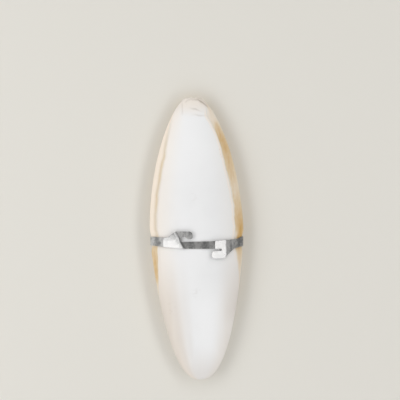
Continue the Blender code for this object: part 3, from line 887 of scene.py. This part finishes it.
def clipMaterial():
    # Nickel plated sheet steel, rolled and stamped: faint streaks along the strip, a mottled face with small
    # dimples, and two plates that are rubbed bright
    look = {
        "nickel": "#DCDBD9", "worn": "#A0A09F", "rubbed": "#B9B8B7", "roughness": (0.23, 0.37),
        "streaks": 1100.0, "mottling": 620.0, "dimples": 900.0,     # cells a metre
        "dimpleDepth": 0.0002,
        "dimpleStrength": (0.35, 0.06),     # on the mottled face, on the rubbed plates
    }
    material, tree = emptyMaterial("nickel plated rolled steel")
    place = addNode(tree, "ShaderNodeTexCoord").outputs["Object"]
    finishAndPaintedLight = addNode(tree, "ShaderNodeAttribute", {"attribute_name": "finishAndPaintedLight"}).outputs["Color"]
    rubbed, patches = addNode(tree, "ShaderNodeSeparateColor", links={"Color": finishAndPaintedLight}).outputs[:2]
    rolled = addNode(tree, "ShaderNodeMapping", {"Scale": (1.0, 0.2, 1.0)}, {"Vector": place})
    streak = addNode(tree, "ShaderNodeTexNoise", {"Scale": look["streaks"], "Detail": 2.0},
                     {"Vector": rolled.outputs["Vector"]}).outputs["Fac"]
    mottle = addNode(tree, "ShaderNodeTexNoise", {"Scale": look["mottling"], "Detail": 3.0, "Roughness": 0.6},
                     {"Vector": place}).outputs["Fac"]
    fine = addNode(tree, "ShaderNodeMath", {"operation": "MULTIPLY_ADD", 1: 0.35}, {0: streak, 2: mottle})
    whole = addNode(tree, "ShaderNodeMath", {"operation": "MULTIPLY_ADD", 1: 0.48},
                    {0: patches, 2: fine.outputs[0]})
    bright = addNode(tree, "ShaderNodeMapRange", {"From Min": 0.70, "From Max": 1.13},
                     {"Value": whole.outputs[0]})
    tone = addNode(tree, "ShaderNodeMix",
                   {"data_type": "RGBA", 6: linear(look["worn"]), 7: linear(look["nickel"])},
                   {0: bright.outputs["Result"]})
    tone = addNode(tree, "ShaderNodeMix", {"data_type": "RGBA", 7: linear(look["rubbed"])},
                   {0: rubbed, 6: tone.outputs[2]})
    dimple = addNode(tree, "ShaderNodeTexNoise", {"Scale": look["dimples"], "Detail": 1.0}, {"Vector": place})
    mottledDimples, rubbedDimples = look["dimpleStrength"]
    dimpled = addNode(tree, "ShaderNodeMapRange", {"To Min": mottledDimples, "To Max": rubbedDimples},
                      {"Value": rubbed})
    bump = addNode(tree, "ShaderNodeBump", {"Distance": look["dimpleDepth"]},
                   {"Height": dimple.outputs["Fac"], "Strength": dimpled.outputs["Result"]})
    smoothest, roughest = look["roughness"]
    gloss = addNode(tree, "ShaderNodeMapRange", {"To Min": smoothest, "To Max": roughest}, {"Value": streak})
    shader = addNode(tree, "ShaderNodeBsdfPrincipled", {"Metallic": 1.0},
                     {"Base Color": tone.outputs[2], "Roughness": gloss.outputs["Result"],
                      "Normal": bump.outputs["Normal"]})
    addNode(tree, "ShaderNodeOutputMaterial", links={"Surface": shader.outputs["BSDF"]})
    return material


def makeClip():
    piece = bpy.data.objects.new("holder_strip", clipMesh())
    bpy.context.collection.objects.link(piece)
    piece.data.materials.append(clipMaterial())
    sheet = piece.modifiers.new("sheet thickness", "SOLIDIFY")
    sheet.thickness = clip["steel"]
    sheet.offset = 1
    sheet.use_even_offset = True
    edge = piece.modifiers.new("stamped edge", "BEVEL")
    edge.width = clip["edgeBevel"]
    edge.segments = 2
    edge.limit_method = "ANGLE"
    edge.angle_limit = math.radians(60)
    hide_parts("holder_clip")
    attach(piece, "root")


makeClip()

print("studio: floor, light and camera")

studio = {
    "floor": "#E8E5DD",
    "floorSize": 6.0,
    "photoWidth": 0.290,          # metres across the picture at the bone's margin
    "photoMiddle": (0.0031, 0.0278),
    "photoTurn": -1.62,           # degrees that the camera is turned, as the bone leans in the picture
    "cameraHeight": 1.10,
    # soft boxes: direction, size across and along in metres, radiance
    "boxes": {
        "left soft box": ((-0.685, 0.0, 0.730), (0.60, 1.15), 1.90),
        "low left box": ((-0.950, 0.0, 0.310), (0.45, 1.4), 0.35),
        "right soft box": ((0.660, 0.0, 0.750), (0.30, 1.1), 2.55),
        "back soft box": ((0.0, 0.720, 0.700), (1.60, 0.6), 0.76),
        "front soft box": ((0.0, -0.720, 0.700), (1.60, 0.6), 0.76),
        "light below the floor": ((0.2, 0.6, -0.78), (0.80, 0.6), 1.8),
    },
    "worldGlow": 0.26,
    "worldSeen": "#F0EEE9",
    "worldSeenStrength": 0.85,
    "sensor": 36,                 # millimetres, as a camera's sensor and lens are given
}


def makeFloor():
    half = studio["floorSize"] / 2
    mesh = bpy.data.meshes.new("floor")
    corners = [(-half, -half, 0), (half, -half, 0), (half, half, 0), (-half, half, 0)]
    mesh.from_pydata(corners, [], [(0, 1, 2, 3)])
    floor = bpy.data.objects.new("floor", mesh)
    bpy.context.collection.objects.link(floor)
    material, tree = emptyMaterial("matt painted board")
    board = addNode(tree, "ShaderNodeBsdfPrincipled",
                    {"Base Color": linear(studio["floor"]), "Roughness": 0.9})
    # open to views from below and to the light under it, so that the soft side can be seen too
    fromBelow = addNode(tree, "ShaderNodeNewGeometry").outputs["Backfacing"]
    shadow = addNode(tree, "ShaderNodeLightPath").outputs["Is Shadow Ray"]
    passing = addNode(tree, "ShaderNodeMath", {"operation": "MAXIMUM"}, {0: fromBelow, 1: shadow})
    clear = addNode(tree, "ShaderNodeBsdfTransparent")
    either = addNode(tree, "ShaderNodeMixShader",
                     links={0: passing.outputs[0], 1: board.outputs[0], 2: clear.outputs[0]})
    addNode(tree, "ShaderNodeOutputMaterial", links={"Surface": either.outputs[0]})
    mesh.materials.append(material)


def makeLight(name, direction, size, radiance):
    # a soft box one metre away in the given direction, facing the bone; power is radiance by area by pi
    lamp = bpy.data.lights.new(name, "AREA")
    lamp.shape = "RECTANGLE"
    lamp.size, lamp.size_y = size
    lamp.energy = radiance * size[0] * size[1] * math.pi
    piece = bpy.data.objects.new(name, lamp)
    bpy.context.collection.objects.link(piece)
    away = Vector(direction).normalized()
    piece.location = away
    piece.visible_camera = False
    piece.rotation_euler = (math.asin(-away.y), math.atan2(away.x, away.z), 0)


def makeWorld():
    world = bpy.data.worlds.new("studio")
    bpy.context.scene.world = world
    world.use_nodes = True
    tree = world.node_tree
    tree.nodes.clear()
    path = addNode(tree, "ShaderNodeLightPath")
    glow = addNode(tree, "ShaderNodeBackground", {"Color": (1, 1, 1, 1), "Strength": studio["worldGlow"]})
    seen = addNode(tree, "ShaderNodeBackground",
                   {"Color": linear(studio["worldSeen"]), "Strength": studio["worldSeenStrength"]})
    both = addNode(tree, "ShaderNodeMixShader",
                   links={0: path.outputs["Is Camera Ray"], 1: glow.outputs[0], 2: seen.outputs[0]})
    addNode(tree, "ShaderNodeOutputWorld", links={"Surface": both.outputs[0]})


def makeCamera():
    lens = bpy.data.cameras.new("camera")
    camera = bpy.data.objects.new("camera", lens)
    bpy.context.collection.objects.link(camera)
    middleX, middleY = studio["photoMiddle"]
    camera.location = (middleX, middleY, studio["cameraHeight"])
    camera.rotation_euler = (0, 0, math.radians(studio["photoTurn"]))
    lens.sensor_width = studio["sensor"]
    lens.lens = studio["sensor"] * (studio["cameraHeight"] - bone["rimHeight"]) / studio["photoWidth"]
    bpy.context.scene.camera = camera


makeFloor()
for name, (direction, size, radiance) in studio["boxes"].items():
    makeLight(name, direction, size, radiance)
makeWorld()
makeCamera()
bpy.context.scene.view_settings.view_transform = "Standard"

print("done")
